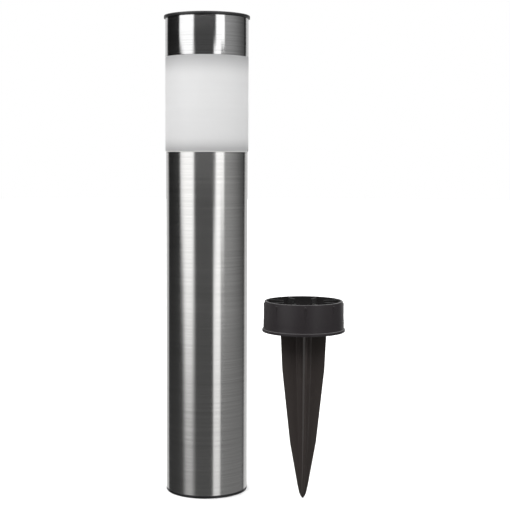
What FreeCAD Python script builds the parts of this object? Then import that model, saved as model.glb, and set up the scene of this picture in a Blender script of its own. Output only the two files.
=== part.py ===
"""Solar garden light with its ground spike, in millimetres.

The light stands upright on its bottom ring: +Z is up, and the origin is the centre of that ring's
underside. The spike stands on its point beside the tube, cup upwards, ready to be put on.
"""
import FreeCAD, Part
import math
import os

# ---------------------------------------------------------------- driving sizes of the light
tube_outer_d = 59.0
tube_wall = 0.5
tube_length = 245.0
lantern_outer_d = 60.0
diffuser_wall = 2.0
diffuser_height = 67.2
sleeve_wall = 0.5
sleeve_height = 27.6
rim_overhang = 1.0
rim_height = 2.2

# bottom ring: a bead under the tube's edge, with a thin lip inside the tube
ring_height = 1.8
ring_lip_wall = 0.35
ring_lip_height = 6.0

# collar that joins the tube to the diffuser
collar_wall = 2.0
collar_plug_depth = 10.0
collar_flange = 0.7
collar_flange_inset = 0.2
collar_spigot_height = 6.0
collar_shelf_width = 2.6
collar_shelf_thickness = 1.5
reflector_thickness = 0.8
reflector_cone_height = 7.0
reflector_cone_d = 40.0

# head housing
housing_wall = 2.0
housing_floor = 2.0
spigot_depth = 8.0
spigot_wall = 2.5
seal_section_d = 1.6
seal_depth = 4.0

# top rim and solar panel
skirt_wall = 1.5
skirt_depth = 6.0
snap_bead = 0.3
snap_height = 4.4
ledge_width = 1.8
ledge_drop = 0.6
window_thickness = 1.6
window_inset = 0.1
board_thickness = 1.2
solar_strip_count = 4
solar_strip_gap = 0.4
solar_strip_thickness = 0.3

# rechargeable cell and its bay
cell_d = 10.5
cell_length = 30.0
cell_nub_d = 4.0
cell_nub_length = 1.0
cell_groove_from_cap = 3.0
cell_groove_depth = 0.5
cell_gap = 0.5
cell_lift = 0.5
bay_wall = 1.5
contact_thickness = 0.4
contact_width = 8.0
tab_width = 3.0
tab_height = 3.0
leaf_space = 3.6
leaf_width = 6.0
leaf_gap = 0.05
cover_lip = 1.2
cover_overlap = 1.5
cover_screw_spread = 18.0
cover_ear_d = 5.2

# lamp, switch and circuit board
lamp_d = 5.0
lamp_flange_d = 5.8
lamp_flange_height = 1.0
lamp_length = 8.6
lamp_to_bay = 2.0
lead_pitch = 2.54
lead_d = 0.5
circuit_length = 32.0
circuit_to_wall = 3.0
circuit_lift = 7.5
circuit_to_bay = 1.5
circuit_screw_spread = 25.0
switch_length = 12.0
switch_depth = 5.6
switch_height = 5.0
switch_to_lamp = 8.0
switch_travel = 3.0
knob_length = 3.0
knob_width = 2.4
knob_out = 1.6
wire_d = 1.3
wire_bend = 3.0
panel_wire_pitch = 3.9

# control chip and choke coil on the circuit board
chip_length = 5.0
chip_width = 4.0
chip_thickness = 1.5
chip_stand_off = 0.2
chip_leg_count = 4
chip_leg_pitch = 1.27
chip_leg_width = 0.4
chip_leg_height = 0.6
chip_leg_span = 6.0
choke_d = 5.6
choke_waist_d = 4.6
choke_flange = 0.8
choke_flange_slope = 0.2
choke_height = 4.4

# screws shared by the cover and the circuit board
screw_d = 2.0
screw_length = 5.0
screw_head_d = 3.8
screw_head_height = 1.2
screw_head_round = 0.4
screw_recess_depth = 0.7
screw_recess_length = 2.1
screw_recess_width = 0.6
screw_boss_d = 4.6

# ground spike
cup_draft = 0.8
cup_height = 19.7
cup_wall = 1.6
cup_floor = 2.0
cup_seat_height = 5.0
cup_flange_overhang = 0.85
cup_boss_d = 14.0
cup_boss_height = 8.0
cup_rib_count = 8
cup_rib_thickness = 1.2
cup_rib_length = 10.6
cup_rib_drop = 0.5
outer_rib_inset = 0.15
outer_rib_overlap = 1.0
outer_rib_drop = 1.0
outer_rib_lead = 2.0
blade_length = 120.3
blade_top_half = 16.4
blade_shoulder_half = 15.1
blade_shoulder_drop = 27.6
blade_waist_half = 9.35
blade_waist_drop = 79.8
blade_point_half = 2.9
blade_point_height = 5.0
blade_point_bulge = 0.4
fin_thickness = 1.6
core_top_d = 11.4
core_shoulder_d = 10.8
core_waist_d = 7.4
core_tip_d = 2.4
stub_side = 7.0
blade_turn = 4.5
spike_x = 69.6
spike_y = -27.0

# ---------------------------------------------------------------- clearances, each on one side
press_gap = 0.05
slip_gap = 0.3
spike_gap = 0.1
screw_gap = 0.05
skirt_gap = 0.15
lid_gap = 0.3
stub_gap = 0.1
edge_round = 0.4
same_place = 1e-4

# ---------------------------------------------------------------- radii and heights that follow
tube_outer_r = tube_outer_d / 2
tube_inner_r = tube_outer_r - tube_wall
lantern_outer_r = lantern_outer_d / 2
diffuser_inner_r = lantern_outer_r - diffuser_wall
sleeve_inner_r = lantern_outer_r - sleeve_wall
rim_outer_r = lantern_outer_r + rim_overhang
housing_outer_r = sleeve_inner_r - 2 * press_gap
housing_inner_r = housing_outer_r - housing_wall
spigot_outer_r = diffuser_inner_r - slip_gap
spigot_inner_r = spigot_outer_r - spigot_wall
skirt_outer_r = housing_inner_r - skirt_gap
skirt_inner_r = skirt_outer_r - skirt_wall
ledge_inner_r = skirt_inner_r - ledge_width / 2
window_seat_r = ledge_inner_r + ledge_width
ring_lip_outer_r = tube_inner_r - press_gap
ring_bore_r = ring_lip_outer_r - ring_lip_wall

tube_base_z = ring_height
tube_top_z = tube_base_z + tube_length
diffuser_base_z = tube_top_z + collar_flange
head_base_z = diffuser_base_z + diffuser_height
underside_z = head_base_z - housing_floor
head_top_z = head_base_z + sleeve_height
rim_top_z = head_top_z + rim_height
ledge_low_z = head_top_z - ledge_drop
window_top_z = rim_top_z - window_inset
window_low_z = window_top_z - window_thickness

# The cell's bay lies as near to the spigot's bore as its corners allow. The lamp, the circuit board
# and the switch are set off from the bay in turn.
bay_half_length = (leaf_space + cell_length + contact_thickness) / 2
bay_half_width = cell_d / 2 + cell_gap
bay_y = math.sqrt((spigot_inner_r - cell_gap) ** 2 - bay_half_length ** 2) - bay_half_width
bay_edge_y = bay_y - bay_half_width
bay_face_y = bay_edge_y - bay_wall
cell_axis_z = head_base_z + cell_lift + cell_d / 2
cell_low_x = -bay_half_length + leaf_space
bay_roof_z = cell_axis_z + cell_d / 2 + cell_gap
bay_top_z = bay_roof_z + bay_wall
tab_top_z = bay_top_z + tab_height
lamp_y = bay_face_y - lamp_flange_d / 2 - lamp_to_bay
cover_screw_y = bay_edge_y - cover_overlap - screw_head_d / 2
circuit_low_z = head_base_z + circuit_lift
circuit_top_z = circuit_low_z + board_thickness
circuit_high_y = bay_face_y - circuit_to_bay
circuit_low_y = -math.sqrt((housing_inner_r - circuit_to_wall) ** 2 - (circuit_length / 2) ** 2)
circuit_depth = circuit_high_y - circuit_low_y
circuit_screw_y = circuit_high_y - circuit_depth / 2
switch_y = lamp_y - switch_to_lamp

blade_top_z = blade_length
cup_floor_z = blade_top_z + cup_floor
cup_top_z = cup_floor_z + cup_height
seat_r = ring_bore_r - spike_gap
cup_flange_r = seat_r + cup_flange_overhang
cup_top_r = seat_r - cup_draft


# ---------------------------------------------------------------- small building blocks
def vector(x, y, z):
    return FreeCAD.Vector(x, y, z)


def turned(corners):
    """Solid of revolution about Z from the corners of its half outline, given as (radius, height)."""
    points = [vector(radius, 0, height) for radius, height in corners]
    outline = Part.makePolygon(points + points[:1])
    return Part.Face(outline).revolve(vector(0, 0, 0), vector(0, 0, 1), 360)


def pipe(inner_r, outer_r, low, high):
    """Upright round pipe."""
    return turned([(inner_r, low), (outer_r, low), (outer_r, high), (inner_r, high)])


def rod(radius, low, high, x=0.0, y=0.0):
    """Upright round bar."""
    return Part.makeCylinder(radius, high - low, vector(x, y, low))


def block(x_span, y_span, z_span):
    """Box from three (low, high) pairs."""
    corner = vector(x_span[0], y_span[0], z_span[0])
    return Part.makeBox(x_span[1] - x_span[0], y_span[1] - y_span[0], z_span[1] - z_span[0], corner)


def centred(middle, size):
    """The (low, high) pair of a length centred on a place."""
    return (middle - size / 2, middle + size / 2)


def rounded(shape, size, circles):
    """The shape with its round edges at the given (radius, height) pairs rolled over."""
    chosen = []
    for edge in shape.Edges:
        if not isinstance(edge.Curve, Part.Circle):
            continue
        for radius, height in circles:
            same_radius = abs(edge.Curve.Radius - radius) < same_place
            if same_radius and abs(edge.Curve.Center.z - height) < same_place:
                chosen.append(edge)
    return shape.makeFillet(size, chosen)


def round_array(shape, count, first_angle=0.0):
    """Copies of the shape turned about Z at equal steps."""
    copies = []
    for index in range(count):
        turned_copy = shape.copy()
        turned_copy.rotate(vector(0, 0, 0), vector(0, 0, 1), first_angle + index * 360.0 / count)
        copies.append(turned_copy)
    return copies


def extruded(corners, direction):
    """Prism from a flat outline given as points."""
    outline = Part.makePolygon(corners + corners[:1])
    return Part.Face(outline).extrude(direction)


def wire(points, diameter, bend):
    """Insulated wire along straight runs joined by tangent arcs."""
    edges = []
    start = points[0]
    for index in range(1, len(points) - 1):
        corner = points[index]
        towards = (corner - points[index - 1]).normalize()
        away = (points[index + 1] - corner).normalize()
        half_turn = towards.getAngle(away) / 2
        set_back = bend * math.tan(half_turn)
        arc_start = corner - towards * set_back
        arc_end = corner + away * set_back
        inward = (away - towards).normalize()
        arc_middle = corner + inward * (bend / math.cos(half_turn) - bend)
        edges.append(Part.LineSegment(start, arc_start).toShape())
        edges.append(Part.Arc(arc_start, arc_middle, arc_end).toShape())
        start = arc_end
    edges.append(Part.LineSegment(start, points[-1]).toShape())
    path = Part.Wire(edges)
    direction = points[1] - points[0]
    section = Part.Wire([Part.Circle(points[0], direction, diameter / 2).toShape()])
    return path.makePipeShell([section], True, False)


def screw(x, y, seat_z, upwards):
    """Pan-head screw with a cross recess; its shank runs up or down from the seat."""
    sense = 1.0 if upwards else -1.0
    shank_end = seat_z + sense * screw_length
    head_end = seat_z - sense * screw_head_height
    shank = rod(screw_d / 2, min(seat_z, shank_end), max(seat_z, shank_end), x, y)
    head = rod(screw_head_d / 2, min(seat_z, head_end), max(seat_z, head_end), x, y)
    outer_rim = []
    for edge in head.Edges:
        if edge.Closed and abs(edge.CenterOfMass.z - head_end) < same_place:
            outer_rim.append(edge)
    head = head.makeFillet(screw_head_round, outer_rim)
    recess_end = head_end + sense * screw_recess_depth
    recess_z = (min(head_end, recess_end), max(head_end, recess_end))
    recess = block(centred(x, screw_recess_length), centred(y, screw_recess_width), recess_z)
    crossing = block(centred(x, screw_recess_width), centred(y, screw_recess_length), recess_z)
    recess = recess.fuse(crossing)
    return shank.fuse(head).cut(recess)


# ---------------------------------------------------------------- tube and what is fixed to it
def make_body_tube():
    return pipe(tube_inner_r, tube_outer_r, tube_base_z, tube_top_z)


def make_bottom_ring():
    """Edge bead with a lip inside the tube; its bore takes the spike's cup."""
    lip_top = tube_base_z + ring_lip_height
    ring = turned([
        (ring_bore_r, 0),
        (tube_outer_r, 0),
        (tube_outer_r, ring_height),
        (ring_lip_outer_r, ring_height),
        (ring_lip_outer_r, lip_top),
        (ring_bore_r, lip_top),
    ])
    return rounded(ring, edge_round, [(tube_outer_r, 0)])


def collar_radii():
    """Inner radii of the collar's plug, spigot and shelf."""
    plug = tube_inner_r - press_gap - collar_wall
    spigot = diffuser_inner_r - slip_gap - collar_wall
    return plug, spigot, min(plug, spigot) - collar_shelf_width


def make_diffuser_collar():
    """Plug in the tube's top, a thin flange, and a spigot that the diffuser drops over."""
    plug_inner, spigot_inner, shelf_inner = collar_radii()
    plug_outer = plug_inner + collar_wall
    spigot_outer = spigot_inner + collar_wall
    flange_r = max(lantern_outer_r, tube_outer_r) - collar_flange_inset
    lead_in = collar_wall / 3
    plug_low = tube_top_z - collar_plug_depth
    spigot_top = diffuser_base_z + collar_spigot_height
    return turned([
        (plug_inner, plug_low),
        (plug_outer - lead_in, plug_low),
        (plug_outer, plug_low + lead_in),
        (plug_outer, tube_top_z),
        (flange_r, tube_top_z),
        (flange_r, diffuser_base_z),
        (spigot_outer, diffuser_base_z),
        (spigot_outer, spigot_top - lead_in),
        (spigot_outer - lead_in, spigot_top),
        (spigot_inner, spigot_top),
        (spigot_inner, diffuser_base_z),
        (shelf_inner, diffuser_base_z),
        (shelf_inner, tube_top_z - collar_shelf_thickness),
        (plug_inner, tube_top_z - collar_shelf_thickness),
    ])


def make_reflector_disc():
    """Pressed disc on the collar's shelf, with a low cone that throws the light outwards."""
    spigot_inner = collar_radii()[1]
    disc_r = spigot_inner - press_gap
    low = diffuser_base_z
    high = low + reflector_thickness
    cone_r = reflector_cone_d / 2
    return turned([
        (0, low + reflector_cone_height),
        (cone_r, low),
        (disc_r, low),
        (disc_r, high),
        (cone_r, high),
        (0, high + reflector_cone_height),
    ])


def make_diffuser():
    shell = pipe(diffuser_inner_r, lantern_outer_r, diffuser_base_z, head_base_z)
    end_edges = [(lantern_outer_r, diffuser_base_z), (lantern_outer_r, head_base_z)]
    return rounded(shell, edge_round, end_edges)


# ---------------------------------------------------------------- head
def make_head_sleeve():
    return pipe(sleeve_inner_r, lantern_outer_r, head_base_z, head_top_z)


def seal_groove():
    """Height of the seal's groove, the radius of its floor, and half its width."""
    centre_z = head_base_z - seal_depth
    floor_r = spigot_outer_r - seal_section_d + slip_gap - 2 * press_gap
    half_width = seal_section_d / 2 + press_gap
    return centre_z, floor_r, half_width


def make_head_housing():
    """Moulded cup: a floor with the cell's bay, a spigot below it, and a wall inside the sleeve."""
    spigot_low = head_base_z - spigot_depth
    lead_in = spigot_wall / 3
    groove_z, groove_r, groove_half = seal_groove()
    snap_z = head_top_z - snap_height
    body = turned([
        (0, underside_z),
        (spigot_inner_r, underside_z),
        (spigot_inner_r, spigot_low),
        (spigot_outer_r - lead_in, spigot_low),
        (spigot_outer_r, spigot_low + lead_in),
        (spigot_outer_r, groove_z - groove_half),
        (groove_r, groove_z - groove_half),
        (groove_r, groove_z + groove_half),
        (spigot_outer_r, groove_z + groove_half),
        (spigot_outer_r, head_base_z),
        (housing_outer_r, head_base_z),
        (housing_outer_r, head_top_z),
        (housing_inner_r, head_top_z),
        (housing_inner_r, snap_z + 2 * snap_bead + press_gap),
        (housing_inner_r + snap_bead, snap_z),
        (housing_inner_r, snap_z - 2 * snap_bead - press_gap),
        (housing_inner_r, head_base_z),
        (0, head_base_z),
    ])
    body = body.fuse(bay_walls()).fuse(housing_bosses()).removeSplitter()
    return body.cut(bay_hollow()).cut(housing_holes())


def bay_walls():
    x_span = centred(0, 2 * (bay_half_length + bay_wall))
    y_span = centred(bay_y, 2 * (bay_half_width + bay_wall))
    return block(x_span, y_span, (underside_z, bay_top_z))


def bay_hollow():
    """The cell's bay, open downwards, with a slit in its roof for each contact's tab."""
    x_span = centred(0, 2 * bay_half_length)
    y_span = centred(bay_y, 2 * bay_half_width)
    bay = block(x_span, y_span, (underside_z, bay_roof_z))
    slit_wide = tab_width + 2 * lid_gap
    slit_z = (bay_roof_z, bay_top_z)
    for side in (-1, 1):
        middle = side * (bay_half_length - contact_thickness / 2)
        slit = block(centred(middle, contact_thickness), centred(bay_y, slit_wide), slit_z)
        bay = bay.fuse(slit)
    return bay


def cover_screw_places():
    return [(side * cover_screw_spread / 2, cover_screw_y) for side in (-1, 1)]


def circuit_screw_places():
    return [(side * circuit_screw_spread / 2, circuit_screw_y) for side in (-1, 1)]


def housing_bosses():
    """Short bosses over the cover's screws and tall posts under the circuit board."""
    cover_boss_z = (underside_z, underside_z + screw_length + housing_floor / 2)
    bosses = []
    for x, y in cover_screw_places():
        bosses.append(rod(screw_boss_d / 2, cover_boss_z[0], cover_boss_z[1], x, y))
    for x, y in circuit_screw_places():
        bosses.append(rod(screw_boss_d / 2, underside_z, circuit_low_z, x, y))
    return bosses[0].multiFuse(bosses[1:])


def housing_holes():
    """Holes in the housing's floor for the lamp, the switch's knob and the screws."""
    lamp_hole = rod(lamp_d / 2 + screw_gap, underside_z, head_base_z, 0, lamp_y)
    slot_long = knob_length + switch_travel + 2 * lid_gap
    slot_wide = knob_width + 2 * lid_gap
    knob_slot = block(centred(0, slot_long), centred(switch_y, slot_wide), (underside_z, head_base_z))
    hole_r = screw_d / 2 + screw_gap
    holes = [knob_slot]
    for x, y in cover_screw_places():
        holes.append(rod(hole_r, underside_z, underside_z + screw_length - cover_lip + screw_gap, x, y))
    pilot_low = circuit_low_z - screw_length + board_thickness - screw_gap
    for x, y in circuit_screw_places():
        holes.append(rod(hole_r, pilot_low, circuit_low_z, x, y))
    return lamp_hole.multiFuse(holes)


def make_head_seal():
    centre_z, floor_r = seal_groove()[:2]
    section_r = seal_section_d / 2
    return Part.makeTorus(floor_r + section_r + press_gap / 2, section_r, vector(0, 0, centre_z))


def make_top_rim():
    """Overhanging cap ring with a skirt that snaps into the housing and a ledge for the window."""
    snap_z = head_top_z - snap_height
    skirt_low = head_top_z - skirt_depth
    rim = turned([
        (ledge_inner_r, ledge_low_z),
        (skirt_inner_r, ledge_low_z),
        (skirt_inner_r, skirt_low),
        (skirt_outer_r, skirt_low),
        (skirt_outer_r, snap_z - 2 * snap_bead),
        (skirt_outer_r + snap_bead, snap_z),
        (skirt_outer_r, snap_z + 2 * snap_bead),
        (skirt_outer_r, head_top_z),
        (rim_outer_r, head_top_z),
        (rim_outer_r, rim_top_z),
        (window_seat_r, rim_top_z),
        (window_seat_r, window_low_z),
        (ledge_inner_r, window_low_z),
    ])
    return rounded(rim, 2 * edge_round, [(rim_outer_r, rim_top_z)])


def make_panel_window():
    disc = rod(window_seat_r - press_gap, window_low_z, window_top_z)
    return rounded(disc, edge_round / 2, [(window_seat_r - press_gap, window_top_z)])


def make_panel_board():
    return rod(skirt_inner_r - press_gap, ledge_low_z - board_thickness, ledge_low_z)


def make_solar_cells():
    """Four strips side by side in a square that fits the ledge's opening."""
    side = (ledge_inner_r - slip_gap) * math.sqrt(2)
    strip_wide = (side - solar_strip_gap * (solar_strip_count - 1)) / solar_strip_count
    strips = []
    for index in range(solar_strip_count):
        low_x = -side / 2 + index * (strip_wide + solar_strip_gap)
        z_span = (ledge_low_z, ledge_low_z + solar_strip_thickness)
        strips.append(block((low_x, low_x + strip_wide), centred(0, side), z_span))
    return Part.makeCompound(strips)


# ---------------------------------------------------------------- power parts in the head
def make_battery_cell():
    """Rechargeable cell lying along X, with its crimp groove and its raised contact."""
    can_length = cell_length - cell_nub_length
    can_r = cell_d / 2
    groove_at = can_length - cell_groove_from_cap
    groove_deep = cell_groove_depth
    cell = turned([
        (0, 0),
        (can_r - groove_deep, 0),
        (can_r, groove_deep),
        (can_r, groove_at - groove_deep),
        (can_r - groove_deep, groove_at),
        (can_r, groove_at + groove_deep),
        (can_r, can_length - groove_deep),
        (can_r - groove_deep, can_length),
        (cell_nub_d / 2, can_length),
        (cell_nub_d / 2, cell_length),
        (0, cell_length),
    ])
    cell.rotate(vector(0, 0, 0), vector(0, 1, 0), 90)
    cell.translate(vector(cell_low_x, bay_y, cell_axis_z))
    return cell


def contact_plate(side):
    """Flat plate against one end wall of the bay, with a solder tab through the roof."""
    inner_face = side * (bay_half_length - contact_thickness)
    x_span = sorted((inner_face, side * bay_half_length))
    plate = block(x_span, centred(bay_y, contact_width), (head_base_z + cell_lift, bay_roof_z))
    tab = block(x_span, centred(bay_y, tab_width), (bay_roof_z, tab_top_z))
    return plate.fuse(tab).removeSplitter()


def make_positive_contact():
    return contact_plate(1)


def make_negative_spring():
    """Plate with a bowed leaf that presses on the cell's flat end."""
    plate = contact_plate(-1)
    root_x = -bay_half_length + contact_thickness
    crest_x = cell_low_x - leaf_gap
    low_z = cell_axis_z - cell_d / 3
    high_z = cell_axis_z + cell_d / 3
    low_y = bay_y - leaf_width / 2
    outer_low = vector(root_x, low_y, low_z)
    outer_high = vector(root_x, low_y, high_z)
    inner_low = vector(root_x, low_y, low_z + contact_thickness)
    inner_high = vector(root_x, low_y, high_z - contact_thickness)
    outer = Part.Arc(outer_low, vector(crest_x, low_y, cell_axis_z), outer_high)
    inner = Part.Arc(inner_high, vector(crest_x - contact_thickness, low_y, cell_axis_z), inner_low)
    top = Part.LineSegment(outer_high, inner_high)
    bottom = Part.LineSegment(inner_low, outer_low)
    outline = Part.Wire([outer.toShape(), top.toShape(), inner.toShape(), bottom.toShape()])
    leaf = Part.Face(outline).extrude(vector(0, leaf_width, 0))
    return plate.fuse(leaf).removeSplitter()


def make_battery_cover():
    """Lid under the bay: a plug in its mouth, a lip around it, and two screw ears."""
    plug_x = centred(0, 2 * (bay_half_length - lid_gap))
    plug_y = centred(bay_y, 2 * (bay_half_width - lid_gap))
    plug = block(plug_x, plug_y, (underside_z, head_base_z - slip_gap))
    lip_z = (underside_z - cover_lip, underside_z)
    lip_x = centred(0, 2 * (bay_half_length + cover_overlap))
    lip_y = centred(bay_y, 2 * (bay_half_width + cover_overlap))
    lip = block(lip_x, lip_y, lip_z).common(rod(spigot_inner_r - lid_gap, lip_z[0], lip_z[1]))
    lid = plug.fuse(lip)
    for x, y in cover_screw_places():
        lid = lid.fuse(rod(cover_ear_d / 2, lip_z[0], lip_z[1], x, y))
        lid = lid.fuse(block(centred(x, cover_ear_d), (y, bay_edge_y), lip_z))
    lid = lid.removeSplitter()
    for x, y in cover_screw_places():
        lid = lid.cut(rod(screw_d / 2 + screw_gap, lip_z[0], lip_z[1], x, y))
    notch_z = (lip_z[0], lip_z[0] + cover_lip / 2)
    thumb_notch = block(centred(0, contact_width), centred(bay_y, screw_head_d / 2), notch_z)
    return lid.cut(thumb_notch)


def make_cover_screws():
    seat_z = underside_z - cover_lip
    return Part.makeCompound([screw(x, y, seat_z, True) for x, y in cover_screw_places()])


# ---------------------------------------------------------------- lamp, switch and electronics
def make_led_lamp():
    """Round lamp pointing down through the floor; its flange rests on the floor inside."""
    lens_r = lamp_d / 2
    straight_low = head_base_z + lamp_flange_height - lamp_length + lens_r
    body = rod(lens_r, straight_low, head_base_z)
    dome = Part.makeSphere(lens_r, vector(0, 0, straight_low))
    flange = rod(lamp_flange_d / 2, head_base_z, head_base_z + lamp_flange_height)
    lamp = body.fuse(dome).fuse(flange).removeSplitter()
    lamp.translate(vector(0, lamp_y, 0))
    return lamp


def lead_places():
    return [(side * lead_pitch / 2, lamp_y) for side in (-1, 1)]


def make_led_leads():
    low = head_base_z + lamp_flange_height
    high = circuit_top_z + board_thickness
    return Part.makeCompound([rod(lead_d / 2, low, high, x, y) for x, y in lead_places()])


def make_circuit_board():
    y_span = (circuit_low_y, circuit_high_y)
    board = block(centred(0, circuit_length), y_span, (circuit_low_z, circuit_top_z))
    holes = []
    for x, y in circuit_screw_places():
        holes.append(rod(screw_d / 2 + screw_gap, circuit_low_z, circuit_top_z, x, y))
    for x, y in lead_places():
        holes.append(rod(lead_d / 2 + screw_gap, circuit_low_z, circuit_top_z, x, y))
    return board.cut(holes[0].multiFuse(holes[1:]))


def make_board_screws():
    return Part.makeCompound([screw(x, y, circuit_top_z, False) for x, y in circuit_screw_places()])


def make_control_chip():
    """Small charging chip with a row of legs on each side."""
    chip_x = -circuit_length / 5
    chip_y = circuit_low_y + circuit_depth / 4
    case_low = circuit_top_z + chip_stand_off
    case_z = (case_low, case_low + chip_thickness)
    case = block(centred(chip_x, chip_length), centred(chip_y, chip_width), case_z)
    leg_z = (circuit_top_z, circuit_top_z + chip_leg_height)
    legs = []
    for step in range(chip_leg_count):
        leg_x = chip_x + (step - (chip_leg_count - 1) / 2) * chip_leg_pitch
        legs.append(block(centred(leg_x, chip_leg_width), centred(chip_y, chip_leg_span), leg_z))
    return case.multiFuse(legs).removeSplitter()


def make_choke_coil():
    """Drum-shaped choke with a wound waist."""
    low = circuit_top_z
    high = low + choke_height
    flange_r = choke_d / 2
    waist_r = choke_waist_d / 2
    drum = turned([
        (0, low),
        (flange_r, low),
        (flange_r, low + choke_flange),
        (waist_r, low + choke_flange + choke_flange_slope),
        (waist_r, high - choke_flange - choke_flange_slope),
        (flange_r, high - choke_flange),
        (flange_r, high),
        (0, high),
    ])
    drum.translate(vector(circuit_length / 5, circuit_low_y + circuit_depth / 4, 0))
    return drum


def slider_plate():
    """Length, width and height of the slider's plate inside the switch."""
    return knob_length + switch_travel, knob_width + slip_gap, switch_height / 4


def make_switch_body():
    """Metal switch case on the floor, open below for its slider, with three pins up to the board."""
    plate_length, plate_width, plate_height = slider_plate()
    case_z = (head_base_z, head_base_z + switch_height)
    case = block(centred(0, switch_length), centred(switch_y, switch_depth), case_z)
    pocket_x = centred(0, plate_length + switch_travel + 2 * slip_gap)
    pocket_y = centred(switch_y, plate_width + 2 * slip_gap)
    pocket = block(pocket_x, pocket_y, (head_base_z, head_base_z + 2 * plate_height + slip_gap))
    case = case.cut(pocket)
    pins = []
    for step in (-1, 0, 1):
        pin_x = centred(step * lead_pitch, lead_d)
        pins.append(block(pin_x, centred(switch_y, lead_d), (head_base_z + switch_height, circuit_low_z)))
    return case.multiFuse(pins).removeSplitter()


def make_switch_slider():
    """Knob below the floor and plate above it, resting at the low-X end of its travel."""
    plate_length, plate_width, plate_height = slider_plate()
    rest_x = -switch_travel / 2
    plate_z = (head_base_z + plate_height, head_base_z + 2 * plate_height)
    plate = block(centred(rest_x, plate_length), centred(switch_y, plate_width), plate_z)
    stem_z = (underside_z - knob_out, plate_z[0])
    stem = block(centred(rest_x, knob_length), centred(switch_y, knob_width), stem_z)
    slider = plate.fuse(stem).removeSplitter()
    grip_pitch = knob_length / 3
    groove = grip_pitch / 3
    groove_z = (stem_z[0], stem_z[0] + groove)
    for side in (-1, 1):
        groove_x = centred(rest_x + side * grip_pitch / 2, groove)
        slider = slider.cut(block(groove_x, centred(switch_y, knob_width), groove_z))
    return slider


def make_panel_wires():
    """Two wires from the solar panel's board down to the circuit board."""
    panel_low_z = ledge_low_z - board_thickness
    level_z = (panel_low_z + tab_top_z) / 2 - wire_d
    end_y = circuit_low_y + wire_bend
    wires = []
    for side in (-1, 1):
        x = side * panel_wire_pitch / 2
        route = [
            vector(x, circuit_high_y, panel_low_z),
            vector(x, circuit_high_y, level_z),
            vector(x, end_y, level_z),
            vector(x, end_y, circuit_top_z),
        ]
        wires.append(wire(route, wire_d, wire_bend))
    return Part.makeCompound(wires)


def make_battery_wires():
    """Two wires from the contacts' tabs down to the circuit board."""
    level_z = tab_top_z + wire_bend + wire_d
    end_y = circuit_high_y - 2 * wire_bend
    wires = []
    for side in (-1, 1):
        tab_x = side * (bay_half_length - contact_thickness / 2)
        end_x = side * (circuit_length / 2 - wire_d)
        route = [
            vector(tab_x, bay_y, tab_top_z),
            vector(tab_x, bay_y, level_z),
            vector(end_x, end_y, level_z),
            vector(end_x, end_y, circuit_top_z),
        ]
        wires.append(wire(route, wire_d, wire_bend))
    return Part.makeCompound(wires)


# ---------------------------------------------------------------- ground spike
def make_spike_cup():
    """Open cup that plugs into the tube's bottom ring, over a flange that stops it."""
    seat_top = cup_floor_z + cup_seat_height
    floor_inner_r = seat_r - cup_wall
    cup = turned([
        (0, blade_top_z),
        (cup_flange_r, blade_top_z),
        (cup_flange_r, cup_floor_z),
        (seat_r, cup_floor_z),
        (seat_r, seat_top),
        (cup_top_r, cup_top_z),
        (cup_top_r - cup_wall, cup_top_z),
        (floor_inner_r, seat_top),
        (floor_inner_r, cup_floor_z),
        (cup_boss_d / 2, cup_floor_z),
        (cup_boss_d / 2, cup_floor_z + cup_boss_height),
        (0, cup_floor_z + cup_boss_height),
    ])
    flange_edges = [(cup_flange_r, blade_top_z), (cup_flange_r, cup_floor_z)]
    cup = rounded(cup, edge_round, flange_edges + [(cup_top_r, cup_top_z)])
    cup = cup.multiFuse(cup_inner_ribs() + cup_outer_ribs()).removeSplitter()
    socket_span = centred(0, stub_side + 2 * stub_gap)
    socket = block(socket_span, socket_span, (blade_top_z, cup_floor_z + cup_boss_height - cup_floor))
    socket.rotate(vector(0, 0, 0), vector(0, 0, 1), blade_turn)
    return placed_spike(cup.cut(socket))


def cup_inner_ribs():
    """Flat-topped ribs from the wall inwards, which stiffen the cup."""
    wall_r = cup_top_r - cup_wall / 2
    inner_r = cup_top_r - cup_wall - cup_rib_length
    rib_z = (cup_floor_z - cup_floor / 2, cup_top_z - cup_rib_drop)
    rib = block((inner_r, wall_r), centred(0, cup_rib_thickness), rib_z)
    return round_array(rib, cup_rib_count, 180.0 / cup_rib_count)


def cup_outer_ribs():
    """Upright ribs that fill the taper of the cup's outside and centre it in the tube."""
    low = cup_floor_z + cup_seat_height - outer_rib_overlap
    high = cup_top_z - outer_rib_drop
    rib_r = seat_r - outer_rib_inset
    inner_r = cup_top_r - cup_wall / 2
    side_y = -cup_rib_thickness / 2
    rib = extruded([
        vector(inner_r, side_y, low),
        vector(rib_r, side_y, low),
        vector(rib_r, side_y, high - outer_rib_lead),
        vector(cup_top_r, side_y, high),
        vector(inner_r, side_y, high),
    ], vector(0, cup_rib_thickness, 0))
    return round_array(rib, cup_rib_count)


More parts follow.
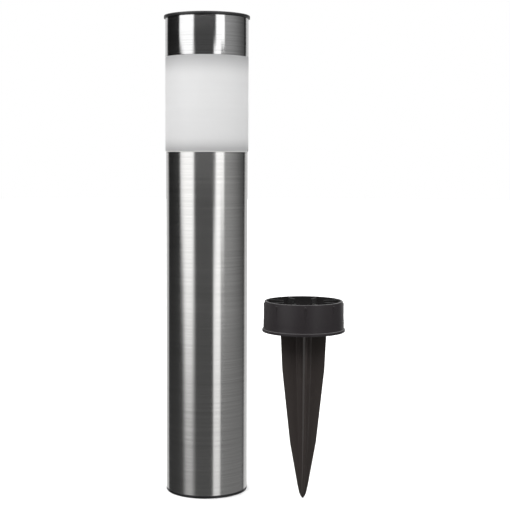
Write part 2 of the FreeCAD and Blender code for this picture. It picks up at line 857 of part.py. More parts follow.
def make_spike_blade():
    """Four tapering fins round a slim core, with a square stub that fits the cup."""
    top = blade_top_z
    shoulder_z = top - blade_shoulder_drop
    waist_z = top - blade_waist_drop
    outer_edge = Part.makePolygon([
        vector(blade_point_half, 0, blade_point_height),
        vector(blade_waist_half, 0, waist_z),
        vector(blade_shoulder_half, 0, shoulder_z),
        vector(blade_top_half, 0, top),
        vector(0, 0, top),
        vector(0, 0, 0),
    ])
    point_end = vector(blade_point_half, 0, blade_point_height)
    outwards = vector(blade_point_height, 0, -blade_point_half).normalize()
    point_middle = point_end * 0.5 + outwards * blade_point_bulge
    point = Part.Arc(vector(0, 0, 0), point_middle, point_end).toShape()
    fin = Part.Face(Part.Wire(outer_edge.Edges + [point])).extrude(vector(0, fin_thickness, 0))
    fin.translate(vector(0, -fin_thickness / 2, 0))
    core = turned([
        (0, core_tip_d / 2),
        (core_tip_d / 2, core_tip_d),
        (core_waist_d / 2, waist_z),
        (core_shoulder_d / 2, shoulder_z),
        (core_top_d / 2, top),
        (0, top),
    ])
    stub_top = cup_floor_z + cup_boss_height - cup_floor - stub_gap
    stub = block(centred(0, stub_side), centred(0, stub_side), (top, stub_top))
    blade = core.multiFuse(round_array(fin, 4) + [stub]).removeSplitter()
    blade.rotate(vector(0, 0, 0), vector(0, 0, 1), blade_turn)
    return placed_spike(blade)


def placed_spike(shape):
    """The shape moved from its own axis to where the spike stands."""
    shape.translate(vector(spike_x, spike_y, 0))
    return shape


# ---------------------------------------------------------------- every piece, by name
pieces = {
    "body_tube": make_body_tube,
    "bottom_ring": make_bottom_ring,
    "diffuser_collar": make_diffuser_collar,
    "reflector_disc": make_reflector_disc,
    "diffuser": make_diffuser,
    "head_sleeve": make_head_sleeve,
    "head_housing": make_head_housing,
    "head_seal": make_head_seal,
    "top_rim": make_top_rim,
    "panel_window": make_panel_window,
    "panel_board": make_panel_board,
    "solar_cells": make_solar_cells,
    "battery_cell": make_battery_cell,
    "positive_contact": make_positive_contact,
    "negative_spring": make_negative_spring,
    "battery_cover": make_battery_cover,
    "cover_screws": make_cover_screws,
    "led_lamp": make_led_lamp,
    "led_leads": make_led_leads,
    "circuit_board": make_circuit_board,
    "board_screws": make_board_screws,
    "control_chip": make_control_chip,
    "choke_coil": make_choke_coil,
    "switch_body": make_switch_body,
    "switch_slider": make_switch_slider,
    "panel_wires": make_panel_wires,
    "battery_wires": make_battery_wires,
    "spike_cup": make_spike_cup,
    "spike_blade": make_spike_blade,
}

os.makedirs("parts", exist_ok=True)
for name, make in pieces.items():
    shape = make()
    shape.exportStep("parts/" + name + ".step")
    box = shape.BoundBox
    print(f"{name:18s} solids {len(shape.Solids)}  valid {shape.isValid()}  volume {shape.Volume:10.1f}"
          f"  z {box.ZMin:7.2f} to {box.ZMax:7.2f}")
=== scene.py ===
# %% [markdown]
# # A solar garden light and its ground spike
# The object is an upright steel tube with a frosted diffuser and a steel-clad head, and beside it
# stands the loose plastic spike that holds it in the ground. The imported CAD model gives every
# place and size, in metres. This script adds the finishes, the finely rounded visible shells, the
# studio and the camera.

# %% The fixed frame
import math
import bpy
from mathutils import Euler, Matrix, Vector


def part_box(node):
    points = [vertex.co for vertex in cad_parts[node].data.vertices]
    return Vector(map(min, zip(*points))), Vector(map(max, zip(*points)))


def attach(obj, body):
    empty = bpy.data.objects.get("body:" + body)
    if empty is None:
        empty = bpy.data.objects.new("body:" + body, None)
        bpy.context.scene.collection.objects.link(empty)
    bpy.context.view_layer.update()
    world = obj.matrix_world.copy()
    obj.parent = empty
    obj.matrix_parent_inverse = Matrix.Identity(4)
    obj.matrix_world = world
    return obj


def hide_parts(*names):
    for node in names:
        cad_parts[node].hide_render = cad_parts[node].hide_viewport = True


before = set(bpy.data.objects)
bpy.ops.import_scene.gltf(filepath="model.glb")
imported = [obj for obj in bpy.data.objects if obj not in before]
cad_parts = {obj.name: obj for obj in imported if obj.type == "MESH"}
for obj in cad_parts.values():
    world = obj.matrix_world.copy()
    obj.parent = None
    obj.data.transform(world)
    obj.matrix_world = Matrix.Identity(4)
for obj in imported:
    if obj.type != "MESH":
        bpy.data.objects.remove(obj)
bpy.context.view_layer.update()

MM = 0.001

# %% [markdown]
# ## Shader maths written as sums
# A node tree is hard to read as a list of nodes and links. A small class holds one output socket
# and turns +, -, * and / into Math nodes, so that a pattern reads like a formula. A sum may also
# start with a plain number, as in 1 - mask, so the reflected forms are there too.

# %% A signal
class Signal:
    """One output socket, which can be used in ordinary sums."""

    def __init__(self, graph, socket):
        self.graph = graph
        self.socket = socket

    def __add__(self, other):
        return self.graph.maths("ADD", self, other)

    def __sub__(self, other):
        return self.graph.maths("SUBTRACT", self, other)

    def __rsub__(self, other):
        return self.graph.maths("SUBTRACT", other, self)

    def __neg__(self):
        return self.graph.maths("MULTIPLY", self, -1.0)

    def __mul__(self, other):
        return self.graph.maths("MULTIPLY", self, other)

    def __truediv__(self, other):
        return self.graph.maths("DIVIDE", self, other)

    __radd__ = __add__
    __rmul__ = __mul__


# %% [markdown]
# ## The tree that signals belong to
# Every other node comes from one method that takes a node's type, its settings and its sockets.
# The short methods below it name the few patterns that this object's finishes are made of: level
# or even noise, a soft step, a mix of two colours, and a relief.

# %% The node tree
class Graph:
    """The node tree of a material or a world, started empty."""

    def __init__(self, owner):
        owner.use_nodes = True
        self.owner = owner
        self.tree = owner.node_tree
        self.tree.nodes.clear()

    def node(self, kind, settings=None, sockets=None, output=0):
        """Adds a node: its settings first, then values or signals for its sockets."""
        made = self.tree.nodes.new(kind)
        for name, value in (settings or {}).items():
            setattr(made, name, value)
        for name, value in (sockets or {}).items():
            if isinstance(value, Signal):
                self.tree.links.new(value.socket, made.inputs[name])
            else:
                made.inputs[name].default_value = value
        return Signal(self, made.outputs[output]) if made.outputs else None

    def maths(self, operation, *values):
        return self.node("ShaderNodeMath", {"operation": operation}, dict(enumerate(values)))

    def position(self):
        """The place on the object, in metres, as a vector signal."""
        return self.node("ShaderNodeTexCoord", output="Object")

    def axes(self, vector):
        """The x, y and z of a vector, as three signals."""
        split = self.node("ShaderNodeSeparateXYZ", {}, {0: vector})
        return [Signal(self, socket) for socket in split.socket.node.outputs]

    def stretched(self, vector, factors):
        return self.node("ShaderNodeVectorMath", {"operation": "MULTIPLY"}, {0: vector, 1: factors})

    def noise(self, vector, scale, detail=3.0, roughness=0.5):
        sockets = {"Vector": vector, "Scale": scale, "Detail": detail, "Roughness": roughness}
        return self.node("ShaderNodeTexNoise", {}, sockets)

    def band(self, value, low, high):
        """Goes smoothly from 0 at low to 1 at high."""
        sockets = {"Value": value, "From Min": low, "From Max": high}
        return self.node("ShaderNodeMapRange", {"interpolation_type": "SMOOTHSTEP"}, sockets)

    def colours(self, factor, first, second):
        """A mix of two colours, from the first at 0 to the second at 1."""
        sockets = {0: factor, 6: first, 7: second}
        return self.node("ShaderNodeMix", {"data_type": "RGBA"}, sockets, output=2)

    def bump(self, height, distance, strength=1.0):
        """A relief, with the distance in metres between its lows and highs."""
        sockets = {"Height": height, "Distance": distance, "Strength": strength}
        return self.node("ShaderNodeBump", {}, sockets)

    def principled(self, sockets):
        return self.node("ShaderNodeBsdfPrincipled", {}, sockets)

    def surface(self, shader):
        self.node("ShaderNodeOutputMaterial", {}, {"Surface": shader})
        return self.owner


# %% [markdown]
# ## Colours
# Blender's colours carry a fourth number, how opaque they are, which is always 1 here. A finish
# is often one colour with darker and lighter places, so one helper scales a colour and leaves the
# fourth number alone.

# %% Start a finish, write a colour, and scale one
def new_finish(name):
    return Graph(bpy.data.materials.new(name))


def rgb(red, green, blue):
    return (red, green, blue, 1.0)


def scaled(colour, factor, lift=0.0):
    """The colour times a factor, raised by a small lift and kept within 1."""
    return tuple(min(1.0, factor * value + lift) for value in colour[:3]) + (1.0,)


print("a mid grey at half strength:", scaled(rgb(0.5, 0.5, 0.5), 0.5))

# %% [markdown]
# ## Brushed stainless steel
# The tube and the head sleeve are rolled stainless sheet, brushed round and round, so the grain
# runs level. A level grain smears each highlight up and down, which is what the anisotropic value
# does, and leaves it sharp from side to side. The grain itself is noise squashed hard in height,
# in three sizes: hair-fine lines, ordinary brush lines, and broad tone bands.

# %% Brushed steel, for the tube and the head sleeve
def brushed_steel(name, tone, gloss):
    g = new_finish(name)
    place = g.position()
    fine = g.noise(g.stretched(place, (24.0, 24.0, 2600.0)), 1.0, 3.0, 0.6)
    brush = g.noise(g.stretched(place, (9.0, 9.0, 900.0)), 1.0, 3.0, 0.6)
    broad = g.noise(g.stretched(place, (3.0, 3.0, 170.0)), 1.0, 2.0)
    cloud = g.noise(place, 14.0, 2.0)
    grain = 0.50 * fine + 0.40 * brush + 0.10 * broad
    colour = g.colours(g.band(grain, 0.30, 0.70), scaled(tone, 0.88), scaled(tone, 1.06))
    roughness = gloss + 0.14 * (grain - 0.5) + 0.06 * (cloud - 0.5)
    return g.surface(g.principled({
        "Base Color": colour,
        "Metallic": 1.0,
        "Roughness": roughness,
        "Anisotropic": 0.75,
        "Anisotropic Rotation": 0.25,
        "Normal": g.bump(grain, 0.00004, 0.4),
    }))


head_steel = brushed_steel("brushed steel of the head", rgb(0.66, 0.66, 0.66), 0.14)
tube_steel = brushed_steel("brushed steel of the tube", rgb(0.62, 0.615, 0.605), 0.20)
print("steels:", head_steel.name, "and", tube_steel.name)

# %% [markdown]
# ## Moulded black plastic
# The rim, the foot ring, the housing, the cup and the blade are injection mouldings. A mould's
# surface is spark-eroded, so the plastic has a fine even pitting, with softer flow marks under it
# and a few pale rubs where parts have been handled. One function makes every black part, with its
# own colour, gloss and pit size. The cup's hollow is left rough from the mould's core, so inside a
# given distance from an axis the gloss is duller. There the colour is also darkened as painted
# shade, for the shadow that the hollow lies in.

# %% Moulded plastic, in any colour
def moulded(name, colour, gloss, pit_size, pit_depth=0.00003, rub=0.35, flow=1.0, sheen=0.5, core=None):
    g = new_finish(name)
    place = g.position()
    pits = g.noise(place, 1.0 / pit_size, 2.0, 0.6)
    drift = g.noise(g.stretched(place, (1.0, 1.0, 0.35)), 60.0, 3.0)
    fine_rub = g.noise(g.stretched(place, (900.0, 900.0, 120.0)), 1.0, 2.0)
    rubbed = g.band(g.noise(place, 45.0, 4.0, 0.7), 0.58, 0.80) * fine_rub * rub
    tint = g.colours(rubbed, g.colours(drift, scaled(colour, 0.80), colour), scaled(colour, 2.1, 0.02))
    roughness = gloss + 0.16 * (pits - 0.5) + 0.14 * (drift - 0.5) * flow + 0.15 * rubbed
    relief = pits + drift * 1.5 * flow
    # Inside the hollow, painted shade darkens the colour to near black and a rougher finish dulls the
    # gloss.
    if core:
        axis_x, axis_y, core_radius = core
        x, y, _ = g.axes(place)
        across, away = x - axis_x, y - axis_y
        from_axis = g.maths("SQRT", across * across + away * away)
        hollow_painted_shade_and_roughness = 1.0 - g.band(from_axis, core_radius - 0.3 * MM, core_radius + 0.3 * MM)
        tint = g.colours(hollow_painted_shade_and_roughness, tint, rgb(0.003, 0.0026, 0.0026))
        roughness = roughness + 0.30 * hollow_painted_shade_and_roughness
    return g.surface(g.principled({
        "Base Color": tint,
        "Roughness": roughness,
        "Specular IOR Level": sheen,
        "Normal": g.bump(relief, pit_depth, 0.6),
    }))


# %% The black and the white mouldings
cup_low, cup_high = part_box("spike_cup")
spike_centre = ((cup_low.x + cup_high.x) / 2, (cup_low.y + cup_high.y) / 2)
cup_flange = (cup_high.x - cup_low.x) / 2
cup_bore = cup_flange - 2.9 * MM
rim_black = moulded("rim plastic", rgb(0.014, 0.014, 0.015), 0.42, 0.0006, rub=0.15)
ring_black = moulded("foot ring plastic", rgb(0.008, 0.008, 0.009), 0.42, 0.0006, rub=0.1)
housing_black = moulded("housing plastic", rgb(0.035, 0.035, 0.037), 0.48, 0.0007)
knob_black = moulded("switch knob plastic", rgb(0.03, 0.03, 0.03), 0.38, 0.0004)
# Inside its bore, the cup's hollow gets painted shade and a rougher finish.
cup_black = moulded("spike cup plastic", rgb(0.024, 0.0205, 0.0225), 0.44, 0.0008, rub=0.2,
                    sheen=0.25, core=(*spike_centre, cup_bore))
blade_black = moulded("spike blade plastic", rgb(0.042, 0.0350, 0.0325), 0.60, 0.0009, rub=0.25,
                      sheen=0.12)
collar_white = moulded("collar plastic", rgb(0.80, 0.80, 0.78), 0.40, 0.0007, rub=0.1)
board_white = moulded("coated panel board", rgb(0.56, 0.56, 0.53), 0.50, 0.0005, rub=0.15)
print("finishes made so far:", [finish.name for finish in bpy.data.materials])

# %% [markdown]
# ## The frosted diffuser
# The diffuser is a milky plastic tube with a satin outside. Some light bounces off its skin and
# some passes through the wall and comes out evenly on the other side. A white Principled shader
# gives the skin and a Translucent shader gives the passage, and a Mix Shader adds the two. The
# colour is darkened towards both ends as painted shade, where the collar and the head's spigot
# stand behind the wall. A faint random mist and level marks, the plastic's own tone, lie over it.

# %% Frosted white
diffuser_low, diffuser_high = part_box("diffuser")


def frosted_white():
    g = new_finish("frosted diffuser")
    place = g.position()
    height = g.axes(place)[2]
    mist = g.noise(place, 26.0, 3.0)
    grain = g.noise(place, 2600.0, 2.0)
    level_marks = g.noise(g.stretched(place, (6.0, 6.0, 300.0)), 1.0, 2.0)
    # Painted shade: the colour greys towards both ends, where parts stand behind the wall. The mist and
    # level marks are the plastic's own tone.
    low_shade = 1.0 - g.band(height, diffuser_low.z - 4 * MM, diffuser_low.z + 10 * MM)
    high_shade = g.band(height, diffuser_high.z - 15 * MM, diffuser_high.z + 4 * MM)
    painted_shade_and_mist = 0.80 * g.maths("MAXIMUM", low_shade, high_shade) + 0.12 * mist + 0.08 * level_marks
    colour = g.colours(painted_shade_and_mist, rgb(0.97, 0.97, 0.97), rgb(0.58, 0.58, 0.585))
    skin = g.principled({
        "Base Color": colour,
        "Roughness": 0.42 + 0.12 * (grain - 0.5) + 0.06 * (mist - 0.5),
        "Normal": g.bump(grain + 0.4 * level_marks, 0.00002, 0.4),
    })
    passage = g.node("ShaderNodeBsdfTranslucent", {}, {"Color": colour})
    share_passed = 0.38
    return g.surface(g.node("ShaderNodeMixShader", {}, {0: share_passed, 1: skin, 2: passage}))


diffuser_white = frosted_white()
print("diffuser finish:", diffuser_white.name)

# %% [markdown]
# ## Clear window and lamp
# The window over the solar cells is clear acrylic, and the lamp is cast from a faintly yellow
# resin. Both let almost all light through, so what is seen of them is what has settled on them:
# a thin smear from wiping, and specks of dust that are duller than the rest.

# %% Clear window and lamp resin
def clear_resin(name, colour, haze):
    g = new_finish(name)
    place = g.position()
    smear = g.noise(g.stretched(place, (1.0, 2.5, 1.0)), 90.0, 4.0)
    dust = g.band(g.noise(place, 1400.0, 1.0), 0.66, 0.74)
    return g.surface(g.principled({
        "Base Color": g.colours(dust * 0.25, colour, rgb(0.8, 0.79, 0.76)),
        "Roughness": haze + 0.05 * smear + 0.25 * dust,
        "Transmission Weight": 0.92,
        "IOR": 1.49,
        "Normal": g.bump(smear, 0.00004, 0.15),
    }))


window_clear = clear_resin("clear panel window", rgb(0.93, 0.955, 0.97), 0.02)
lamp_resin = clear_resin("lamp resin", rgb(0.96, 0.95, 0.86), 0.05)
print("clear finishes:", window_clear.name, "and", lamp_resin.name)

# %% [markdown]
# ## Solar cells
# Four strips of silicon lie under the window. Each is a dark blue mosaic of crystals, crossed by
# thin silver fingers that gather the current and one wide bus line that leads it away. A folded
# ramp of the position draws the fingers evenly, and cell noise gives each crystal its own blue.

# %% Solar cell strips
strips_low, strips_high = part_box("solar_cells")
strip_count = 4
strip_gap = 0.4 * MM
strip_pitch = (strips_high.x - strips_low.x + strip_gap) / strip_count
strip_middle = (strip_pitch - strip_gap) / (2 * strip_pitch)
finger_pitch = 1.6 * MM


def solar_cell_blue():
    g = new_finish("solar cell")
    place = g.position()
    x, y, _ = g.axes(place)
    along = g.maths("PINGPONG", y / finger_pitch, 0.5) * 2.0
    across = g.maths("FRACT", (x - strips_low.x) / strip_pitch, 0.0)
    finger = 1.0 - g.band(along, 0.05, 0.12)
    off_centre = g.maths("ABSOLUTE", across - strip_middle)
    bus = 1.0 - g.band(off_centre, 0.055, 0.075)
    silver = g.maths("MAXIMUM", finger, bus)
    crystals = g.node("ShaderNodeTexVoronoi", {}, {"Vector": place, "Scale": 420.0}, output="Color")
    flake = g.axes(crystals)[0]
    blue = g.colours(flake, rgb(0.008, 0.014, 0.055), rgb(0.02, 0.04, 0.13))
    return g.surface(g.principled({
        "Base Color": g.colours(silver, blue, rgb(0.62, 0.64, 0.66)),
        "Metallic": 0.7 * silver,
        "Roughness": 0.22 + 0.12 * flake + 0.12 * silver,
        "Normal": g.bump(silver + 0.2 * flake, 0.00003, 0.5),
    }))


solar_blue = solar_cell_blue()
print("solar strip pitch in mm:", round(strip_pitch / MM, 2))

# %% [markdown]
# ## Plated metals
# Contacts, screws, leads and the reflector are plated. Plating is bright but never even: it has
# fine specks and slow stains, so both the colour and the roughness drift a little over it.

# %% Plated and bare metals
def plated_metal(name, colour, gloss, grain=900.0):
    g = new_finish(name)
    place = g.position()
    speck = g.noise(place, grain, 3.0)
    stain = g.noise(place, 160.0, 3.0)
    return g.surface(g.principled({
        "Base Color": g.colours(stain, scaled(colour, 0.72), colour),
        "Metallic": 1.0,
        "Roughness": gloss + 0.12 * (speck - 0.5) + 0.14 * (stain - 0.5),
        "Normal": g.bump(speck + stain, 0.00002, 0.4),
    }))


contact_nickel = plated_metal("nickel contact", rgb(0.72, 0.70, 0.64), 0.28)
screw_zinc = plated_metal("zinc screw", rgb(0.62, 0.62, 0.63), 0.32)
tinned = plated_metal("tinned lead", rgb(0.78, 0.78, 0.76), 0.24)
switch_plate = plated_metal("switch case plate", rgb(0.68, 0.68, 0.66), 0.30)
reflector_silver = plated_metal("pressed reflector", rgb(0.86, 0.87, 0.88), 0.18, 500.0)
print("metals made:", [finish.name for finish in (contact_nickel, screw_zinc, tinned, switch_plate)])

# %% [markdown]
# ## The rechargeable cell and the wires
# The cell is a steel can in a green shrink sleeve, with a paler band at one end and both ends of
# the can left bare. Soft steps along its length draw the bands. The wires come in pairs, red on
# one side of the head and black on the other, so the side they are on picks the colour.

# %% The sleeved cell
cell_low, cell_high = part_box("battery_cell")


def sleeved_cell():
    """Green shrink sleeve with a paler band at one end; both ends of the can are left bare."""
    g = new_finish("sleeved cell")
    place = g.position()
    x = g.axes(place)[0]
    bare_high = g.band(x, cell_high.x - 1.7 * MM, cell_high.x - 1.5 * MM)
    bare_low = 1.0 - g.band(x, cell_low.x + 0.3 * MM, cell_low.x + 0.5 * MM)
    bare = g.maths("MAXIMUM", bare_high, bare_low)
    paler = g.band(x, cell_high.x - 7.2 * MM, cell_high.x - 7.0 * MM)
    wrinkle = g.noise(g.stretched(place, (160.0, 900.0, 900.0)), 1.0, 3.0)
    sleeve = g.colours(paler, rgb(0.05, 0.30, 0.11), rgb(0.75, 0.76, 0.70))
    shaded = g.colours(0.3 * wrinkle, sleeve, rgb(0.02, 0.10, 0.04))
    return g.surface(g.principled({
        "Base Color": g.colours(bare, shaded, rgb(0.70, 0.69, 0.66)),
        "Metallic": bare,
        "Roughness": 0.26 + 0.18 * wrinkle,
        "Normal": g.bump(wrinkle, 0.00005, 0.4),
    }))


# %% The wires' insulation
def wire_insulation():
    """Red on one side of the head and black on the other, as each pair is."""
    g = new_finish("wire insulation")
    place = g.position()
    side = g.band(g.axes(place)[0], -0.1 * MM, 0.1 * MM)
    waxy = g.noise(place, 700.0, 3.0)
    colour = g.colours(side, rgb(0.02, 0.02, 0.02), rgb(0.45, 0.025, 0.02))
    return g.surface(g.principled({
        "Base Color": g.colours(0.25 * waxy, colour, rgb(0.25, 0.16, 0.15)),
        "Roughness": 0.36 + 0.2 * waxy,
        "Normal": g.bump(waxy, 0.00003, 0.4),
    }))


# %% [markdown]
# ## Board, chip and choke
# The circuit board shows copper traces through green solder mask, which a cell pattern measured
# square-wise suggests well. The chip is one solid with its legs, so height and width tell epoxy
# from tin, and the choke is a ferrite drum whose waist is wound with copper wire.

# %% The circuit board
def green_board():
    """Solder mask over copper traces, with a woven glass grain under it."""
    g = new_finish("circuit board")
    place = g.position()
    cells = g.node("ShaderNodeTexVoronoi", {"feature": "DISTANCE_TO_EDGE", "distance": "MANHATTAN"},
                   {"Vector": place, "Scale": 260.0})
    trace = 1.0 - g.band(cells, 0.10, 0.16)
    weave = g.noise(g.stretched(place, (2600.0, 2600.0, 1.0)), 1.0, 1.0)
    colour = g.colours(trace, rgb(0.018, 0.13, 0.045), rgb(0.06, 0.28, 0.09))
    return g.surface(g.principled({
        "Base Color": g.colours(0.2 * weave, colour, rgb(0.10, 0.22, 0.08)),
        "Roughness": 0.30 + 0.15 * weave,
        "Normal": g.bump(trace + 0.3 * weave, 0.00004, 0.6),
    }))


# %% The chip and the choke
def legged_chip():
    """Black epoxy case with tinned legs below it."""
    g = new_finish("chip epoxy and legs")
    place = g.position()
    low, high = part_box("control_chip")
    off_middle = g.maths("ABSOLUTE", g.axes(place)[1] - (low.y + high.y) / 2)
    leg = g.band(off_middle, 2.0 * MM, 2.05 * MM)
    grit = g.noise(place, 3000.0, 2.0)
    return g.surface(g.principled({
        "Base Color": g.colours(leg, rgb(0.025, 0.025, 0.026), rgb(0.72, 0.72, 0.70)),
        "Metallic": leg,
        "Roughness": 0.55 - 0.2 * leg + 0.15 * (grit - 0.5),
        "Normal": g.bump(grit, 0.00003, 0.5),
    }))


def wound_choke():
    """Ferrite drum whose waist is wound with copper wire."""
    g = new_finish("ferrite and copper winding")
    place = g.position()
    low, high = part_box("choke_coil")
    z = g.axes(place)[2]
    above_foot = g.band(z, low.z + 0.9 * MM, low.z + 1.0 * MM)
    waist = above_foot - g.band(z, high.z - 1.0 * MM, high.z - 0.9 * MM)
    wire_pitch = 0.3 * MM
    turns = g.maths("PINGPONG", z / wire_pitch, 0.5) * 2.0
    grit = g.noise(place, 1800.0, 3.0)
    return g.surface(g.principled({
        "Base Color": g.colours(waist, rgb(0.06, 0.055, 0.05), rgb(0.62, 0.24, 0.09)),
        "Metallic": waist,
        "Roughness": 0.55 - 0.25 * waist + 0.15 * (grit - 0.5),
        "Normal": g.bump(waist * turns + 0.3 * grit, 0.00008, 0.6),
    }))


# %% [markdown]
# ## Seal rubber
# The seal ring is black rubber, which dulls in pale blooms as it ages.

# %% The seal
def seal_rubber():
    g = new_finish("seal rubber")
    place = g.position()
    bloom = g.noise(place, 220.0, 4.0)
    return g.surface(g.principled({
        "Base Color": g.colours(bloom, rgb(0.015, 0.015, 0.015), rgb(0.05, 0.05, 0.052)),
        "Roughness": 0.62 + 0.2 * (bloom - 0.5),
        "Normal": g.bump(bloom, 0.00003, 0.5),
    }))


# %% [markdown]
# ## Finishes on the CAD parts that keep their own shape
# Parts whose modelled shape is already right only change their material. Most of them are hidden
# until the head is taken off, but each has a finish of its own.

# %% Give each kept part its finish
cad_finishes = {
    "head_housing": housing_black,
    "battery_cover": housing_black,
    "head_seal": seal_rubber(),
    "panel_window": window_clear,
    "panel_board": board_white,
    "solar_cells": solar_blue,
    "battery_cell": sleeved_cell(),
    "positive_contact": contact_nickel,
    "negative_spring": contact_nickel,
    "cover_screws": screw_zinc,
    "board_screws": screw_zinc,
    "led_lamp": lamp_resin,
    "led_leads": tinned,
    "circuit_board": green_board(),
    "control_chip": legged_chip(),
    "choke_coil": wound_choke(),
    "switch_body": switch_plate,
    "switch_slider": knob_black,
    "panel_wires": wire_insulation(),
    "battery_wires": wire_insulation(),
    "diffuser_collar": collar_white,
    "reflector_disc": reflector_silver,
}
for node, finish in cad_finishes.items():
    for material_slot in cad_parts[node].material_slots:
        material_slot.material = finish
print("CAD parts given a finish:", len(cad_finishes))

# %% [markdown]
# ## Turned shells
# The visible shells are all round, so each is one outline spun about its axis. What tells a real
# shell from a plain cylinder is its edges: rolled sheet and moulded plastic never end in a
# perfectly sharp corner, and the small radius catches a thin line of light. So the outline's
# corners are eased by a curve before it is spun.

# %% Ease an outline's corners
def eased(corners, steps=4):
    """Points of a closed outline, from corners given as (radius, height, easing)."""
    points = []
    count = len(corners)
    for index, (radius, height, ease) in enumerate(corners):
        here = Vector((radius, height))
        before = Vector(corners[index - 1][:2])
        after = Vector(corners[(index + 1) % count][:2])
        if ease == 0:
            points.append(here)
            continue
        start = here + (before - here).normalized() * ease
        end = here + (after - here).normalized() * ease
        for step in range(steps + 1):
            t = step / steps
            points.append(start * (1 - t) ** 2 + here * 2 * t * (1 - t) + end * t ** 2)
    return points


# %% Make a piece, spin an outline
crisp_angle = math.radians(40)


def new_piece(name, vertices, faces, finish):
    """A smooth-shaded mesh object with one finish, which keeps its sharp edges crisp."""
    mesh = bpy.data.meshes.new(name)
    mesh.from_pydata(vertices, [], faces)
    mesh.materials.append(finish)
    mesh.shade_smooth()
    mesh.set_sharp_from_angle(angle=crisp_angle)
    piece = bpy.data.objects.new(name, mesh)
    bpy.context.scene.collection.objects.link(piece)
    return piece


def spun_mesh(corners, centre=(0.0, 0.0), segments=192):
    """Vertices and faces of a closed outline spun about an upright axis."""
    outline = eased(corners)
    vertices = []
    for step in range(segments):
        angle = 2 * math.pi * step / segments
        for point in outline:
            x = centre[0] + point.x * math.cos(angle)
            y = centre[1] + point.x * math.sin(angle)
            vertices.append((x, y, point.y))
    count = len(outline)
    faces = []
    for step in range(segments):
        following = (step + 1) % segments
        for index in range(count):
            after = (index + 1) % count
            faces.append((step * count + index, following * count + index,
                          following * count + after, step * count + after))
    return vertices, faces


def spun(name, corners, finish, body, node):
    """A spun shell that rides on a body and stands for a CAD part."""
    piece = new_piece(name, *spun_mesh(corners), finish)
    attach(piece, body)
    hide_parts(node)
    print(name, "faces:", len(piece.data.polygons))
    return piece

# %% [markdown]
# ## Tube, foot ring, head sleeve, diffuser and rim
# Each shell takes its height and outer radius from the CAD part that it stands for. Only walls
# and edge radii are given here, since a box can't tell them. The tube and the head sleeve are
# thin rolled sheet, and their cut ends are burred off.

# %% Body tube and head sleeve
sheet_wall = 0.5 * MM
rolled_edge = 0.2 * MM


def sheet_shell(name, node, finish, body):
    """A thin rolled sheet tube with burred-off edges."""
    low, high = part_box(node)
    outer = high.x
    inner = outer - sheet_wall
    corners = [
        (inner, low.z, rolled_edge), (outer, low.z, rolled_edge),
        (outer, high.z, rolled_edge), (inner, high.z, rolled_edge),
    ]
    piece = spun(name, corners, finish, body, node)
    return piece


steel_tube = sheet_shell("steel_tube", "body_tube", tube_steel, "stand")
head_band = sheet_shell("head_band", "head_sleeve", head_steel, "head")

# %% [markdown]
# ## Foot ring
# A moulded ring closes the tube's raw lower edge. It turns up a short way inside the tube, so its
# outline is an L, with the foot as wide as the tube.

# %% The foot ring
ring_low, ring_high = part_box("bottom_ring")
tube_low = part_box("body_tube")[0]
ring_bore = ring_high.x - 0.9 * MM
ring_lip = ring_high.x - sheet_wall - 0.05 * MM
foot_ring = spun("foot_ring", [
    (ring_bore, ring_low.z, 0.25 * MM),
    (ring_high.x, ring_low.z, 0.4 * MM),
    (ring_high.x, tube_low.z, 0.15 * MM),
    (ring_lip, tube_low.z, 0.0),
    (ring_lip, ring_high.z, 0.1 * MM),
    (ring_bore, ring_high.z, 0.1 * MM),
], ring_black, "stand", "bottom_ring")

# %% [markdown]
# ## Diffuser and rim
# The diffuser is a plain pipe. The rim is a cap ring: it stands a little proud of the sleeve, its
# outer edge is rounded for the hand, a skirt drops inside the sleeve, and the window rests on a
# ledge inside it.

# %% The diffuser
diffuser_wall = 2.0 * MM
diffuser_bore = diffuser_high.x - diffuser_wall
frosted_tube = spun("frosted_tube", [
    (diffuser_bore, diffuser_low.z, 0.3 * MM),
    (diffuser_high.x, diffuser_low.z, 0.5 * MM),
    (diffuser_high.x, diffuser_high.z, 0.4 * MM),
    (diffuser_bore, diffuser_high.z, 0.3 * MM),
], diffuser_white, "lantern", "diffuser")

# %% The rim
rim_low, rim_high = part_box("top_rim")
sleeve_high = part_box("head_sleeve")[1]
window_low, window_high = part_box("panel_window")
board_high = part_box("panel_board")[1]
rim_seat = window_high.x + 0.05 * MM
rim_skirt_inner = board_high.x + 0.05 * MM
rim_skirt_outer = rim_skirt_inner + 1.5 * MM
rim_ledge = rim_seat - 1.8 * MM
cap_ring = spun("cap_ring", [
    (rim_ledge, board_high.z, 0.0),
    (rim_skirt_inner, board_high.z, 0.0),
    (rim_skirt_inner, rim_low.z, 0.2 * MM),
    (rim_skirt_outer, rim_low.z, 0.4 * MM),
    (rim_skirt_outer, sleeve_high.z, 0.0),
    (rim_high.x, sleeve_high.z, 0.3 * MM),
    (rim_high.x, rim_high.z, 0.8 * MM),
    (rim_seat, rim_high.z, 0.25 * MM),
    (rim_seat, window_low.z, 0.0),
    (rim_ledge, window_low.z, 0.15 * MM),
], rim_black, "head", "top_rim")

# %% [markdown]
# ## Spike cup
# The cup is a moulding with a flange, a straight seat that fits the tube, a tapering wall, eight
# ribs inside and eight slim ribs outside. The wall is spun, and each rib is a bevelled bar turned
# into place. They overlap inside the wall, as a moulding's ribs grow out of it.

# %% Turn a point, and make bevelled bars for ribs
def turned(x, y, angle, centre):
    """A point turned about the origin, then carried to a centre."""
    turned_x = x * math.cos(angle) - y * math.sin(angle)
    turned_y = x * math.sin(angle) + y * math.cos(angle)
    return centre[0] + turned_x, centre[1] + turned_y


